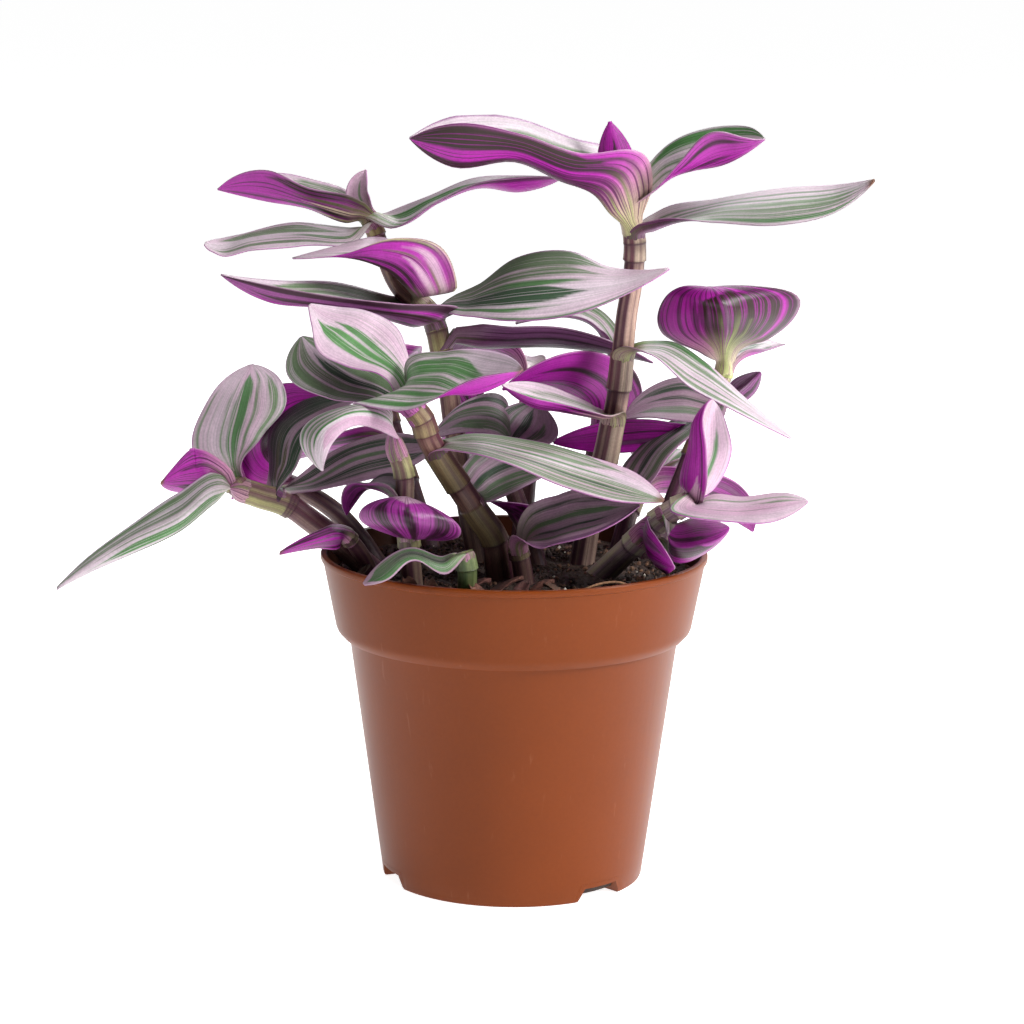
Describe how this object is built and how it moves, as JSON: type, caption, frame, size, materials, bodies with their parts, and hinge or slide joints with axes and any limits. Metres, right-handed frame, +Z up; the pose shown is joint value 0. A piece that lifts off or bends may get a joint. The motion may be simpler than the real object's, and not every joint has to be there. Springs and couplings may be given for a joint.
{
  "type": "potted tradescantia",
  "caption": "Leafy, striped trailing house plant growing from soil in a round, tapered plastic grower's pot that stands on its flat base.",
  "frame": {"origin": "centre of the pot's flat base, on the ground", "axes": "+Z up; -Y toward the viewer of the picture, +X to the viewer's right"},
  "size_m": [0.2445, 0.1728, 0.2381],
  "materials": {
    "pot": "smooth satin terracotta-coloured plastic with fine scuffs",
    "soil": "rough, dark brown, fibrous potting mix",
    "foliage": "satin leaf skin, striped green, white and pink above and purple below"
  },
  "bodies": {
    "root": {"pot": "pot", "soil": "soil", "stem_tall_right": "foliage", "stem_tall_left": "foliage", "stem_front_left": "foliage", "stem_right_back": "foliage", "stem_right_low": "foliage", "stem_left_trailing": "foliage", "stem_left_inner": "foliage", "stem_centre_left": "foliage", "stem_front_sprout": "foliage", "stem_middle": "foliage", "stem_middle_low": "foliage", "stem_left_lip": "foliage", "stem_right_inner": "foliage", "stem_back_left": "foliage", "stem_back": "foliage", "stem_back_right": "foliage"}
  },
  "joints": []
}
